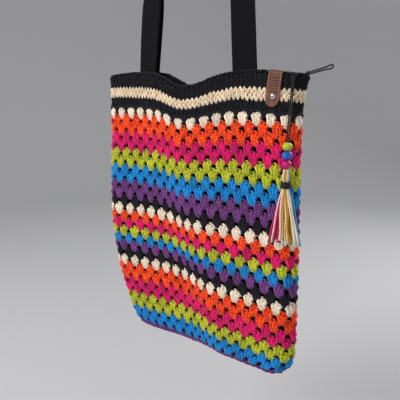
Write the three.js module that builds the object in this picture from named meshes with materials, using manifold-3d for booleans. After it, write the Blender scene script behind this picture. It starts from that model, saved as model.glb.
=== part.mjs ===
// A hanging crochet market bag: striped crochet body, black rim, cloth lining, webbing handles,
// a folded leather tab with a rivet, and a bead and tassel charm on a doubled cord.
// Millimetres, +Z up. The front faces -Y. The origin is the underside of the handles' top arch.
import * as THREE from "three";
import { mergeVertices } from "three/addons/utils/BufferGeometryUtils.js";
import Module from "manifold-3d";

const wasm = await Module();
wasm.setup();

// Overall sizes of the bag
const BAG_HEIGHT = 400;
const RIM_WIDTH = 314;
const THROAT_IN = 9;
const BODY_OUT = 17;
const RIM_FLARE_DEPTH = 60;
const TAPER_DEPTH = 360;
const RIM_DEPTH = 30;
const BELLY_DEPTH = 36;
const BELLY_AT = 220;
const CORNER_RADIUS = 30;
const FOLD_RADIUS = 12;
const HANDLE_RISE = 300;
const BAG_OFFSET = -1.8;

// Crochet cloth, lining and the gaps between neighbours
const CLOTH = 5;
const LINING = 1;
const GAP = 0.3;
const LINING_GAP = 0.8;
const LINING_TOP = 3;
const BASE_ROUND = 12;

// Rounds of crochet, from the rim down: colour and number of rounds
const RIM_ROUND = 6.6;
const RIM_BANDS = [["black", 3], ["beige", 2], ["black", 2]];
const STRIPES = [
  ["cream", 1], ["orange", 2], ["magenta", 2], ["green", 2], ["blue", 2], ["purple", 2], ["black", 1],
  ["cream", 1], ["orange", 1], ["magenta", 1], ["green", 1], ["blue", 1], ["purple", 1], ["black", 1],
  ["cream", 1], ["orange", 2], ["magenta", 2], ["green", 2], ["blue", 2],
];

// How the soft bag hangs: rim dip, drooping corners, a leaning ridge beside a wide valley, the lower
// left corner curled back, the lower right edge folded up, and a slight lean of the whole bag
const DIP = 16.5;
const DIP_AT = 13.6;
const DIP_SPREAD = 40;
const DROOP = 22.6;
const DROOP_FROM = 0.6;
const SAG_FADE = 126;
const STRAP_FADE = 40;
const RIDGE = 7.9;
const RIDGE_AT = -35;
const RIDGE_LEAN = 0.245;
const RIDGE_SPREAD = 38;
const VALLEY = 22;
const VALLEY_BACK = 78;
const VALLEY_SPREAD = 84;
const VALLEY_TOP = 0.05;
const VALLEY_FULL = 298;
const CURL_IN = 40;
const CURL_BACK = 30;
const CURL_FROM = 144;
const FOLD_UP = 17.5;
const FOLD_UP_AT = 13;
const FOLD_UP_SPREAD = 59;
const FOLD_UP_FROM = 362;
const LEAN = -0.019;

// Webbing handles
const STRAP_WIDTH = 32;
const STRAP = 2;
const STRAP_GAP = 0.9;
const STRAP_FROM_END = 80.5;
const STRAP_SEWN = 55;
const ARCH_RADIUS = 55;
const HANDLE_GAP = 1.6;
const TWIST_FROM = 70;
const SEWN_STEPS = 4;
const FREE_STEPS = 18;
const STRAP_PARTS = 3;
const ARCH_STEPS = 8;

// Leather tab and its rivet
const TAB_IN = 31;
const TAB_WIDTH = 17;
const TAB = 2;
const TAB_GAP = 0.6;
const TAB_FOLD = 2;
const TAB_LEG = 38;
const TAB_INNER_LEG = 36;
const RIVET_DOWN = 28;
const RIVET_HEAD = 7.2;
const RIVET_DOME = 2.2;
const RIVET_SHANK = 2.6;
const RIVET_FLANGE = 1;

// Charm: doubled cord, three beads, tassel with its binding
const CORD = 1.8;
const STRAND_GAP = 0.5;
const CHARM_TURN = 0.35;
const PIVOT_OUT = 1.4;
const PIVOT_DOWN = 1.5;
const PIVOT_FREE = 1.15;
const BEAD_TOP = 75;
const BEAD_OUT = 7;
const TASSEL_OUT = 4;
const BORE_PLAY = 0.7;
const BEADS = [["green", 11.4, 9.6], ["blue", 12.4, 10.2], ["magenta", 11.4, 9.8]];
const TASSEL_HEAD = 13;
const TASSEL_SOCKET = 8;
const TASSEL_NECK_TOP = 6.4;
const TASSEL_NECK = 9.4;
const TASSEL_SKIRT = 66;
const TASSEL_WIDTH = 36;
const TASSEL_DEPTH = 15;
const TASSEL_LEAN = 5.5;
const BINDING_HEIGHT = 10;
const BINDING_WALL = 1;
const KNOT = 5;
const LOOP_REACH = 25;
const LOOP_RISE = 8.5;
const LOOP_WIDTH = 6.2;

const COLOURS = {
  black: 0x24222c, beige: 0xe8d5b8, cream: 0xf0deca, orange: 0xff4a1a, magenta: 0xd81b72,
  green: 0xacbe2c, blue: 0x1f8fd8, purple: 0x6c3f7a,
};

// Places that follow from the sizes
const RIM_Z = -HANDLE_RISE;
const THROAT_WIDTH = RIM_WIDTH - THROAT_IN;
const BODY_WIDTH = RIM_WIDTH + BODY_OUT;
const STRAP_SPAN = RIM_WIDTH - 2 * STRAP_FROM_END;
const TAB_X = RIM_WIDTH / 2 - TAB_IN;
const END_CENTRE = RIM_WIDTH / 2 - RIM_DEPTH / 2;
const WALL_MIDDLE = RIM_DEPTH / 2 - CLOTH / 2;
const LINING_INSET = CLOTH + LINING_GAP;
const STRAND_PITCH = CORD + STRAND_GAP;
const BEAD_BORE = STRAND_PITCH + CORD + BORE_PLAY;
const BEAD_Y = -Math.max(RIM_DEPTH / 2 + BEAD_OUT, BELLY_DEPTH / 2 + TASSEL_OUT);

const group = new THREE.Group();
group.name = "crochet_market_bag";

function add(name, geometry, colour, roughness, metalness = 0) {
  const material = new THREE.MeshStandardMaterial({ color: colour, roughness, metalness });
  const mesh = new THREE.Mesh(geometry, material);
  mesh.name = name;
  group.add(mesh);
}

// The shape of the hanging bag. x runs across, y through it, s down from the rim.
const smooth = (t) => {
  const c = Math.min(Math.max(t, 0), 1);
  return c * c * (3 - 2 * c);
};
const bump = (x, spread) => Math.exp(-((x / spread) ** 2));
const above = (s) => Math.exp(Math.min(s, 0) / STRAP_FADE);

function sag(x, s) {
  const corner = Math.max(Math.abs(x) / (RIM_WIDTH / 2) - DROOP_FROM, 0);
  const rim = DIP * bump(x - DIP_AT, DIP_SPREAD) + DROOP * corner ** 2;
  return rim * Math.exp(-Math.max(s, 0) / SAG_FADE) * above(s);
}

function wave(x, s) {
  const ridge = RIDGE_AT + RIDGE_LEAN * s;
  const deep = Math.min(VALLEY_TOP + Math.max(s, 0) / VALLEY_FULL, 1);
  const valley = VALLEY * deep * bump(x - ridge + VALLEY_BACK, VALLEY_SPREAD);
  return (valley - RIDGE * bump(x - ridge, RIDGE_SPREAD)) * above(s);
}

function curl(x, s) {
  const low = Math.max(s - CURL_FROM, 0) / (BAG_HEIGHT - CURL_FROM);
  return low ** 2 * (0.5 - x / RIM_WIDTH) ** 2;
}

function foldUp(x, s) {
  const low = Math.max(s - FOLD_UP_FROM, 0) / (BAG_HEIGHT - FOLD_UP_FROM);
  return FOLD_UP * low * smooth((x - FOLD_UP_AT) / (2 * FOLD_UP_SPREAD) + 0.5);
}

function drape(x, y, s) {
  const c = curl(x, s);
  const across = BAG_OFFSET + x + CURL_IN * c + LEAN * Math.max(s, 0);
  return new THREE.Vector3(across, y + wave(x, s) + CURL_BACK * c, RIM_Z - s - sag(x, s) + foldUp(x, s));
}

// Half width and half depth of the bag at a distance below the rim
function halfWidth(s) {
  const flare = Math.max(1 - s / RIM_FLARE_DEPTH, 0) ** 2;
  const low = Math.max(s - BAG_HEIGHT + CORNER_RADIUS, 0);
  const corner = CORNER_RADIUS - Math.sqrt(Math.max(CORNER_RADIUS ** 2 - low ** 2, 0));
  const taper = (BODY_WIDTH - THROAT_WIDTH) / 2 * smooth(s / TAPER_DEPTH);
  return THROAT_WIDTH / 2 + taper + flare * (RIM_WIDTH - THROAT_WIDTH) / 2 - corner;
}

function halfDepth(s) {
  const t = Math.min(Math.max((s - STRAP_SEWN) / (BELLY_AT - STRAP_SEWN), 0), 1);
  const belly = RIM_DEPTH / 2 + (BELLY_DEPTH - RIM_DEPTH) / 2 * Math.sin(t * Math.PI / 2) ** 2;
  const low = Math.max(s - BAG_HEIGHT + FOLD_RADIUS, 0) / FOLD_RADIUS;
  return belly * Math.sqrt(Math.max(1 - low ** 2, 0));
}

// One loop round the bag at distance s, set in from the outer face, starting at the left edge
const END_STEPS = 2;
const SIDE_STEPS = 10;

function loopAt(s, inset) {
  const b = halfDepth(s);
  const straight = halfWidth(s) - b;
  const r = b - inset;
  const front = [];
  for (let i = 0; i <= END_STEPS; i += 1) {
    const a = i / END_STEPS * Math.PI / 2;
    front.push([-straight - r * Math.cos(a), -r * Math.sin(a)]);
  }
  for (let i = 1; i < SIDE_STEPS; i += 1) {
    front.push([-straight + 2 * straight * i / SIDE_STEPS, -r]);
  }
  for (let i = END_STEPS; i >= 0; i -= 1) {
    const a = i / END_STEPS * Math.PI / 2;
    front.push([straight + r * Math.cos(a), -r * Math.sin(a)]);
  }
  const back = front.slice(1, -1).reverse().map(([x, y]) => [x, -y]);
  return [...front, ...back].map(([x, y]) => drape(x, y, s));
}

// Skins rings of equal point counts into one closed body. Ends are closed by strips, or the last
// ring joins the first.
function loft(rings, round) {
  const m = rings[0].length;
  const points = rings.flat();
  const faces = [];
  const last = round ? rings.length : rings.length - 1;
  for (let k = 0; k < last; k += 1) {
    const a = k * m;
    const b = ((k + 1) % rings.length) * m;
    for (let i = 0; i < m; i += 1) {
      const j = (i + 1) % m;
      faces.push(a + i, a + j, b + j, a + i, b + j, b + i);
    }
  }
  if (!round) {
    const top = (rings.length - 1) * m;
    for (let i = 0; i < m / 2; i += 1) {
      const p = [i, i + 1, m - 1 - i, (m - i) % m];
      if (p[0] !== p[3]) faces.push(p[0], p[3], p[1], top + p[0], top + p[1], top + p[3]);
      if (p[1] !== p[2]) faces.push(p[1], p[3], p[2], top + p[1], top + p[2], top + p[3]);
    }
  }
  return facing(points, faces);
}

// Builds the body and turns its faces outward
function facing(points, faces) {
  let volume = 0;
  for (let i = 0; i < faces.length; i += 3) {
    const [a, b, c] = [points[faces[i]], points[faces[i + 1]], points[faces[i + 2]]];
    volume += a.dot(new THREE.Vector3().crossVectors(b, c));
  }
  if (volume < 0) faces.reverse();
  const geometry = new THREE.BufferGeometry().setFromPoints(points);
  geometry.setIndex(faces);
  return geometry;
}

// A body turned round the Z axis from half a profile of radius and height
function turned(profile, steps, stretch = 1) {
  const points = profile.map(([r, z]) => new THREE.Vector2(r, z));
  const geometry = new THREE.LatheGeometry(points, steps);
  geometry.rotateX(Math.PI / 2);
  geometry.scale(1, stretch, 1);
  return geometry;
}

// Joins and cuts
function solid(geometry) {
  const flat = geometry.index ? geometry.toNonIndexed() : geometry;
  const bare = new THREE.BufferGeometry().setAttribute("position", flat.getAttribute("position"));
  const merged = mergeVertices(bare, 1e-4);
  const triVerts = new Uint32Array(merged.index.array);
  return new wasm.Manifold(new wasm.Mesh({
    numProp: 3, vertProperties: merged.attributes.position.array, triVerts,
  }));
}

function cut(geometry, tool) {
  const mesh = solid(geometry).subtract(solid(tool)).getMesh();
  const left = new THREE.BufferGeometry();
  left.setAttribute("position", new THREE.BufferAttribute(mesh.vertProperties, 3));
  left.setIndex(new THREE.BufferAttribute(mesh.triVerts, 1));
  return left;
}

// A round cord along chosen points
function cord(points, size, stepLength = 2 * size) {
  const path = new THREE.CatmullRomCurve3(points, false, "centripetal");
  const outline = new THREE.Shape();
  for (let i = 0; i < 8; i += 1) {
    const a = i / 8 * 2 * Math.PI;
    const at = [size / 2 * Math.cos(a), size / 2 * Math.sin(a)];
    if (i === 0) outline.moveTo(...at);
    else outline.lineTo(...at);
  }
  const steps = Math.max(4, Math.round(path.getLength() / stepLength));
  return new THREE.ExtrudeGeometry(outline, { steps, extrudePath: path });
}

// Leather tab: where its two legs lie, and the rivet's line through tab, cloth and lining
const tabFront = -(RIM_DEPTH / 2 + TAB_GAP + TAB / 2);
const tabBack = -(RIM_DEPTH / 2 - LINING_INSET - LINING - TAB_GAP - TAB / 2);
const rimSlope = (sag(TAB_X + 1, 0) - sag(TAB_X - 1, 0)) / 2;
const tabTop = new THREE.Vector3(BAG_OFFSET + TAB_X, 0, RIM_Z - sag(TAB_X, 0));
const tabTurn = Math.atan(rimSlope);

function onTab(across, y, down) {
  const p = new THREE.Vector3(across, y, -down);
  return p.applyAxisAngle(new THREE.Vector3(0, 1, 0), tabTurn).add(tabTop);
}

function alongRivet(geometry, y) {
  const at = onTab(0, y, RIVET_DOWN);
  return geometry.rotateX(Math.PI / 2).translate(at.x, at.y, at.z);
}

const hole = RIVET_SHANK + 2 * GAP;
const drillLength = tabBack - tabFront + 4 * TAB;

function drill() {
  const bit = new THREE.CylinderGeometry(hole / 2, hole / 2, drillLength, 12);
  return alongRivet(bit.rotateX(Math.PI / 2), (tabFront + tabBack) / 2);
}

// Crochet rounds: every stripe is one band of cloth worked onto the band below it
const roundsIn = (bands) => bands.reduce((sum, [, rounds]) => sum + rounds, 0);
const rimHeight = roundsIn(RIM_BANDS) * RIM_ROUND;
const stripeRound = (BAG_HEIGHT - rimHeight - BASE_ROUND) / roundsIn(STRIPES);

function band(top, bottom) {
  const edges = [[top, 0], [top, CLOTH], [bottom, CLOTH], [bottom, 0]];
  const rings = edges.map(([s, inset]) => loopAt(s, inset));
  const sections = rings[0].map((_, i) => rings.map((ring) => ring[i]));
  return loft(sections, true);
}

const levels = [];
let down = 0;
const rimNames = ["rim_top_black", "rim_beige", "rim_lower_black"];
RIM_BANDS.forEach(([colour, rounds], i) => {
  const low = down + rounds * RIM_ROUND;
  const cloth = band(i === 0 ? 0 : down + GAP / 2, low - GAP / 2);
  const pierced = down < RIVET_DOWN + hole && RIVET_DOWN - hole < low;
  add(rimNames[i], pierced ? cut(cloth, drill()) : cloth, COLOURS[colour], 0.9);
  levels.push(low);
  down = low;
});
STRIPES.forEach(([colour, rounds], i) => {
  const low = down + rounds * stripeRound;
  const number = String(i + 1).padStart(2, "0");
  add(`stripe_${number}_${colour}`, band(down + GAP / 2, low - GAP / 2), COLOURS[colour], 0.9);
  levels.push(low);
  down = low;
});

// Base: the last round, folded flat into the bottom edge
const baseLevels = [GAP / 2, BASE_ROUND / 3, BASE_ROUND * 2 / 3, BASE_ROUND - 1.5, BASE_ROUND - GAP];
add("base_purple", loft(baseLevels.map((s) => loopAt(down + s, 0)), false), COLOURS.purple, 0.9);

// Lining: a cloth bag inside the crochet, open at the rim and closed above the base
const liningLevels = [LINING_TOP, ...levels.slice(0, -1), down - GAP];
const outside = liningLevels.map((s) => loopAt(s, LINING_INSET));
const inside = liningLevels.slice(0, -1).map((s) => loopAt(s, LINING_INSET + LINING));
inside.push(loopAt(down - GAP - LINING, LINING_INSET + LINING));
add("lining", cut(loft([...inside.reverse(), ...outside], false), drill()), 0x0c0b0e, 0.95);

// Handles: sewn inside the rim, flat to the front, then turned to lie flat over what they hang on,
// the front handle on top of the back one
const strapInset = LINING_INSET + LINING + STRAP_GAP + STRAP / 2;
function strapRing(centre, inward, turn) {
  const half = STRAP_WIDTH / 2;
  const wide = inward.clone().multiplyScalar(Math.cos(turn)).setY(Math.sin(turn)).multiplyScalar(half);
  const thick = inward.clone().multiplyScalar(-Math.sin(turn)).setY(Math.cos(turn)).multiplyScalar(STRAP / 2);
  const across = (t) => Array.from({ length: STRAP_PARTS + 1 }, (_, i) => (
    centre.clone().addScaledVector(wide, 1 - 2 * i / STRAP_PARTS).addScaledVector(thick, t)
  ));
  return [...across(-1), ...across(1).reverse()];
}

function handle(side) {
  const archBase = HANDLE_RISE - ARCH_RADIUS;
  const leg = [];
  const heights = [];
  for (let i = 0; i < SEWN_STEPS; i += 1) heights.push(-STRAP_SEWN * (1 - i / SEWN_STEPS));
  for (let i = 0; i < FREE_STEPS; i += 1) heights.push(archBase * i / FREE_STEPS);
  const footY = side * (RIM_DEPTH / 2 - strapInset);
  const radius = ARCH_RADIUS + STRAP / 2 + (side < 0 ? STRAP + HANDLE_GAP : 0);
  heights.forEach((h) => {
    const t = Math.max(h, 0) / archBase;
    const x = -STRAP_SPAN / 2 + (STRAP_SPAN / 2 - radius) * t;
    const y = footY * (1 - smooth((h - 20) / (archBase - 20)));
    const turn = -Math.PI / 2 * smooth((h - TWIST_FROM) / (archBase - TWIST_FROM));
    const flat = strapRing(new THREE.Vector3(x, y, 0), new THREE.Vector3(1, 0, 0), turn);
    leg.push({ h, flat });
  });
  const hung = (mirror) => leg.map(({ h, flat }) => flat.map((p) => (
    drape(mirror * p.x - BAG_OFFSET, p.y, -h)
  )));
  const arch = [];
  for (let i = 0; i <= ARCH_STEPS; i += 1) {
    const a = Math.PI - Math.PI * i / ARCH_STEPS;
    const out = new THREE.Vector3(Math.cos(a), 0, Math.sin(a));
    const centre = out.clone().multiplyScalar(radius).add(new THREE.Vector3(0, 0, -ARCH_RADIUS));
    arch.push(strapRing(centre, out.negate(), -Math.PI / 2));
  }
  const right = hung(-1).reverse();
  return loft([...hung(1), ...arch, ...right], false);
}

add("front_handle", handle(-1), 0x17161a, 0.8);
add("back_handle", handle(1), 0x17161a, 0.8);

// Leather tab: one strip folded over the rim, round at its front end
function tabSections() {
  const rings = [];
  const section = (y, drop, ny, nz, half) => {
    rings.push([[-half, -1], [half, -1], [half, 1], [-half, 1]].map(([w, t]) => (
      onTab(w, y + t * ny * TAB / 2, drop - t * nz * TAB / 2)
    )));
  };
  const r = TAB_WIDTH / 2;
  for (let i = 0; i <= 5; i += 1) {
    const a = (0.12 + 0.88 * i / 5) * Math.PI / 2;
    section(tabFront, TAB_LEG - r + r * Math.cos(a), 1, 0, r * Math.sin(a));
  }
  for (let i = 0; i <= 7; i += 1) {
    const a = Math.PI / 2 * (i < 4 ? i / 3 : (i - 1) / 3);
    const y = i < 4 ? tabFront + TAB_FOLD * (1 - Math.cos(a)) : tabBack - TAB_FOLD * (1 + Math.cos(a));
    section(y, -TAB_FOLD * Math.sin(a), Math.cos(a), -Math.sin(a), r);
  }
  section(tabBack, TAB_INNER_LEG, -1, 0, r);
  return rings;
}

add("leather_tab", cut(loft(tabSections(), false), drill()), 0x8a5238, 0.6);

// Rivet: domed cap in front, shank and flange from behind
const capFace = tabFront - TAB / 2 - GAP;
const flangeFace = tabBack + TAB / 2 + GAP;
const capBore = RIVET_DOME * 0.55;
const cap = turned([
  [0, capBore], [hole / 2, capBore], [hole / 2, 0], [RIVET_HEAD / 2, 0], [RIVET_HEAD / 2, RIVET_DOME * 0.3],
  [RIVET_HEAD * 0.38, RIVET_DOME * 0.72], [RIVET_HEAD * 0.2, RIVET_DOME * 0.94], [0, RIVET_DOME],
], 20);
add("rivet_cap", alongRivet(cap, capFace), 0xd0d2d6, 0.2, 1);
const shankTip = flangeFace - capFace + capBore - GAP;
const post = turned([
  [0, -RIVET_FLANGE], [RIVET_HEAD / 2, -RIVET_FLANGE], [RIVET_HEAD / 2, 0],
  [RIVET_SHANK / 2, 0], [RIVET_SHANK / 2, shankTip], [0, shankTip],
], 20);
add("rivet_post", alongRivet(post, flangeFace), 0xb8babf, 0.3, 1);

// Charm: the doubled cord comes over the rim, through the beads and into the tassel
const rimTop = (x) => RIM_Z - sag(x, 0);
const pivotReach = RIM_DEPTH / 2 + PIVOT_OUT;
const charmX = END_CENTRE + pivotReach * Math.sin(CHARM_TURN);
const charmY = -pivotReach * Math.cos(CHARM_TURN);
const pivot = new THREE.Vector3(BAG_OFFSET + charmX, charmY + wave(charmX, 0), rimTop(charmX) - PIVOT_DOWN);
const beadTop = pivot.z - BEAD_TOP;
let z = beadTop;
BEADS.forEach(([colour, width, height]) => {
  const profile = [[BEAD_BORE / 2, -height / 2 + 0.6], [BEAD_BORE / 2, height / 2 - 0.6]];
  for (let i = 1; i < 8; i += 1) {
    const a = Math.PI / 2 - Math.PI * i / 8;
    profile.push([Math.max(width / 2 * Math.cos(a), BEAD_BORE / 2 + 0.4), height / 2 * Math.sin(a)]);
  }
  profile.push(profile[0]);
  const bead = turned(profile.reverse(), 16);
  z -= height / 2;
  add(`bead_${colour}`, bead.translate(pivot.x, BEAD_Y, z), COLOURS[colour], 0.2);
  z -= height / 2 + GAP;
});

const tasselTop = z;
const neckLow = tasselTop - TASSEL_HEAD;
const skirtTop = neckLow - BINDING_HEIGHT;
const skirtLow = skirtTop - TASSEL_SKIRT;
const lean = (geometry) => {
  const at = geometry.getAttribute("position");
  for (let i = 0; i < at.count; i += 1) {
    const share = Math.max(neckLow - at.getZ(i), 0) / (neckLow - skirtLow);
    const flat = 1 - share * (1 - TASSEL_DEPTH / TASSEL_WIDTH);
    at.setXYZ(i, pivot.x + at.getX(i), BEAD_Y - TASSEL_LEAN * share + at.getY(i) * flat, at.getZ(i));
  }
  return geometry;
};
const tassel = turned([
  [0, skirtLow], [TASSEL_WIDTH / 2 - 1, skirtLow], [TASSEL_WIDTH / 2, skirtLow + 6],
  [TASSEL_WIDTH * 0.4, skirtLow + TASSEL_SKIRT * 0.4], [TASSEL_WIDTH * 0.28, skirtLow + TASSEL_SKIRT * 0.75],
  [TASSEL_NECK * 0.62, skirtTop - 2], [TASSEL_NECK / 2, skirtTop], [TASSEL_NECK / 2, neckLow],
  [TASSEL_NECK * 0.55, neckLow + 3], [TASSEL_NECK_TOP / 2, tasselTop], [BEAD_BORE / 2, tasselTop],
  [BEAD_BORE / 2, tasselTop - TASSEL_SOCKET], [0, tasselTop - TASSEL_SOCKET],
], 16);
add("tassel", lean(tassel), 0xe6ded6, 0.95);
const bindIn = TASSEL_NECK / 2 + GAP;
const bindOut = bindIn + BINDING_WALL;
const bindLow = skirtTop + GAP;
const bindHigh = neckLow - GAP;
const binding = turned([
  [bindIn, bindLow], [bindOut, bindLow], [bindOut, bindHigh], [bindIn, bindHigh], [bindIn, bindLow],
], 20);
add("tassel_binding", lean(binding), 0x1a191d, 0.8);

[["a", -1], ["b", 1]].forEach(([label, side]) => {
  const x = pivot.x + side * STRAND_PITCH / 2;
  const drop = (y, at) => new THREE.Vector3(x, y, at);
  const hang = [
    drop(pivot.y, pivot.z - PIVOT_FREE), drop(pivot.y - 1.6, pivot.z - 20), drop(BEAD_Y + 2.2, pivot.z - 46),
    drop(BEAD_Y + 0.2, beadTop + 6), drop(BEAD_Y, beadTop - 2), drop(BEAD_Y, beadTop - 18),
    drop(BEAD_Y, tasselTop - TASSEL_SOCKET + GAP),
  ];
  add(`charm_cord_${label}`, cord(hang, CORD), 0x18171b, 0.7);
});

// The cord's upper end lies along the top of the rim to a knot at the corner, with a loop left over
const lift = CORD / 2 + GAP;
[["a", -1], ["b", 1]].forEach(([label, side]) => {
  const x = charmX + side * STRAND_PITCH / 2;
  const ring = WALL_MIDDLE + side * STRAND_PITCH / 2;
  const on = (bx, by, up) => new THREE.Vector3(BAG_OFFSET + bx, by + wave(bx, 0), rimTop(bx) + up);
  const round = (turn, reach) => on(END_CENTRE + reach * Math.sin(turn), -reach * Math.cos(turn), lift);
  const start = Math.atan2(x - END_CENTRE, -charmY);
  const reach = Math.hypot(x - END_CENTRE, charmY);
  const route = [
    on(x, charmY, -PIVOT_DOWN), on(x, charmY, 0.6),
    round(start + 0.03, reach - 1.6), round(start + 0.15, ring + 0.4),
  ];
  [0.36, 0.64, 0.93].forEach((turn) => route.push(round(CHARM_TURN + turn, ring)));
  add(`rim_cord_${label}`, cord(route, CORD, CORD), 0x18171b, 0.7);
});
const knotX = END_CENTRE + WALL_MIDDLE;
const knotAt = new THREE.Vector3(BAG_OFFSET + knotX, 0, rimTop(knotX) + GAP + KNOT * 0.45);
const knotProfile = [];
for (let i = 0; i <= 8; i += 1) {
  const a = Math.PI * i / 8 - Math.PI / 2;
  knotProfile.push([KNOT / 2 * Math.cos(a) * (i % 8 ? 1 : 0), KNOT * 0.45 * Math.sin(a)]);
}
add("cord_knot", turned(knotProfile, 14).translate(knotAt.x, knotAt.y, knotAt.z), 0x18171b, 0.7);
const loopFrom = knotAt.x + KNOT / 2 + GAP;
const half = LOOP_WIDTH / 2;
const out = (run, side) => {
  const open = half * (0.38 + 0.62 * (run / LOOP_REACH) ** 4);
  return new THREE.Vector3(loopFrom + run, 0, knotAt.z + LOOP_RISE * run / LOOP_REACH + side * open);
};
add("cord_loop", cord([
  out(0, -1), out(9, -1), out(18, -1), out(LOOP_REACH - 2.5, -1), out(LOOP_REACH, -0.45),
  out(LOOP_REACH, 0.45), out(LOOP_REACH - 2.5, 1), out(18, 1), out(9, 1), out(0, 1),
], CORD), 0x18171b, 0.7);

export default group;
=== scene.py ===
# %% [markdown]
# # A crochet market bag
# The bag hangs by its handles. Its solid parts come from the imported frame, and this lesson gives each
# of them its real surface: yarn stitch by stitch, woven webbing, leather, glossy beads and a tassel
# of loose strands. All sizes are in metres, and the front of the bag faces -Y.

# %% Load the frame
import math
import bpy
import numpy as np
from mathutils import Matrix, Vector


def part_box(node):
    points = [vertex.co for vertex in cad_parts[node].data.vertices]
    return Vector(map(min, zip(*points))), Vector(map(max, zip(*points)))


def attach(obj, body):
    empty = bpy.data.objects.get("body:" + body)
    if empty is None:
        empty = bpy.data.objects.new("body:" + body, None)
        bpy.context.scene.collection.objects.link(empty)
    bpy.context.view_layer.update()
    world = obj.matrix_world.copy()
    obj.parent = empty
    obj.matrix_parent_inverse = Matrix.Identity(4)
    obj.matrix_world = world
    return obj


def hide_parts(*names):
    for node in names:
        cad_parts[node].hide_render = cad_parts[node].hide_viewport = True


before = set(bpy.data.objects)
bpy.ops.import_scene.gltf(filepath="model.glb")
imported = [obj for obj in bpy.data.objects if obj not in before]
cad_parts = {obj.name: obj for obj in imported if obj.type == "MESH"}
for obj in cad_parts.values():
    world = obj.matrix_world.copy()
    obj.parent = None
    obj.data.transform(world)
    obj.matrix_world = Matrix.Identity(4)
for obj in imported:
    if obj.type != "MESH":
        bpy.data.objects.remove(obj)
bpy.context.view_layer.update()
scene = bpy.context.scene
chance = np.random.default_rng(7)

# %% [markdown]
# ## Camera
# The photograph looks at the bag from its right, about level with the rim and a little downwards, so
# the right edge is nearer and taller than the left one. The stand point and lens were worked out from
# how the rows of stitches converge.

# %% Camera
LENS_PIXELS, PICTURE_PIXELS, SENSOR_WIDTH = 476.9, 400, 36.0
CAMERA_AT = (0.3846, -0.5145, -0.3218)
CAMERA_ROUND, CAMERA_DOWN, CAMERA_ROLL = 36.22, 13.06, 0.39
turn = Matrix.Rotation(math.radians(CAMERA_ROUND), 3, "Z")
turn = turn @ Matrix.Rotation(math.radians(90 - CAMERA_DOWN), 3, "X")
turn = turn @ Matrix.Rotation(math.radians(CAMERA_ROLL), 3, "Z")
bpy.ops.object.camera_add(location=CAMERA_AT, rotation=turn.to_euler())
camera = bpy.context.object
camera.data.sensor_width = SENSOR_WIDTH
camera.data.lens = LENS_PIXELS / PICTURE_PIXELS * SENSOR_WIDTH
camera.data.clip_start = 0.01
scene.camera = camera
print("lens", round(camera.data.lens, 1))

# %% [markdown]
# ## The shape of the hanging bag
# Every stitch, the lining and the sewn ends of the handles follow one surface. It is the solid model's,
# with the rim and the lower right fold moved by a few millimetres to hang as the real ones do. A place on
# it is given by how far round the bag it is, how far below the rim, and how far out from the outer face.
# The rim dips between the handles, one soft ridge and one valley lean across the body, and the lower
# left corner curls in.

# %% Sizes of the bag, and how it hangs
BAG_HEIGHT, RIM_WIDTH, THROAT_WIDTH, BODY_WIDTH = 0.400, 0.314, 0.305, 0.331
RIM_FLARE_DEPTH, TAPER_DEPTH, RIM_DEPTH, BELLY_DEPTH, BELLY_AT = 0.060, 0.360, 0.030, 0.036, 0.220
STRAP_SEWN, CORNER_RADIUS, FOLD_RADIUS, RIM_Z, BAG_OFFSET = 0.055, 0.030, 0.012, -0.300, -0.0018
FLARE_LIMIT, EDGE_OPEN, LEAST_RADIUS = 1.2, 0.004, 0.0004
DIP_AT, DIP_LEFT, DIP_RIGHT, DIP, DIP_FADE, ABOVE_FADE = -0.006, 0.032, 0.045, 0.0165, 0.126, 0.040
DROOP_FROM, DROOP, END_FROM, END_RUN, END_DROP, EXTRA_DIP = 0.6, 0.0226, 0.090, 0.060, 0.0022, 0.0026
BAND_TOP, BAND_FADE = 0.022, 0.060
SWELLS = ((0.075, 0.035, 0.0030), (-0.100, 0.040, 0.0012))
RIDGE_AT, RIDGE_LEAN, RIDGE_SPREAD, RIDGE = -0.035, 0.245, 0.038, 0.0079
VALLEY_LEFT, VALLEY_SPREAD, VALLEY, VALLEY_START, VALLEY_RUN = 0.078, 0.084, 0.022, 0.05, 0.298
CURL_FROM, CURL_IN, CURL_BACK, BAG_LEAN = 0.144, 0.040, 0.030, 0.019
LIFT_FROM, LIFT_UP, LIFT_AT, LIFT_RUN = 0.330, 0.0168, 0.028, 0.118
LEFT_END_IN, RIGHT_END_OUT = 0.0045, 0.0035
print("bag", BAG_HEIGHT, "high and", BODY_WIDTH, "wide")

# %% Surface of the bag
def bump(x, spread):
    return np.exp(-((x / spread) ** 2))


def ease(t):
    c = np.clip(t, 0, 1)
    return c * c * (3 - 2 * c)


def above(s):
    return np.exp(np.minimum(s, 0) / ABOVE_FADE)


def sag(x, s):
    """How far a place hangs below its level: the rim's dip, drooping ends and the bands under it."""
    corner = np.maximum(np.abs(x) / (RIM_WIDTH / 2) - DROOP_FROM, 0)
    dip = bump(x - DIP_AT, np.where(x < DIP_AT, DIP_LEFT, DIP_RIGHT))
    rim = DIP * dip + DROOP * corner ** 2
    ends = END_DROP * ease((np.abs(x) - END_FROM) / END_RUN)
    lower = (ends + EXTRA_DIP * dip) * np.interp(s, (0, BAND_TOP), (1, 0))
    raised = ends
    for at, spread, rise in SWELLS:
        raised = raised + rise * bump(x - at, spread)
    raised = raised * np.interp(s, (0, BAND_TOP, BAND_FADE), (0, 1, 0))
    return (rim * np.exp(-np.maximum(s, 0) / DIP_FADE) + lower - raised) * above(s)


def wave(x, s):
    """The leaning ridge and the valley beside it."""
    ridge = RIDGE_AT + RIDGE_LEAN * s
    deep = np.minimum(VALLEY_START + np.maximum(s, 0) / VALLEY_RUN, 1)
    valley = VALLEY * deep * bump(x - ridge + VALLEY_LEFT, VALLEY_SPREAD)
    return (valley - RIDGE * bump(x - ridge, RIDGE_SPREAD)) * above(s)


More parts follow.
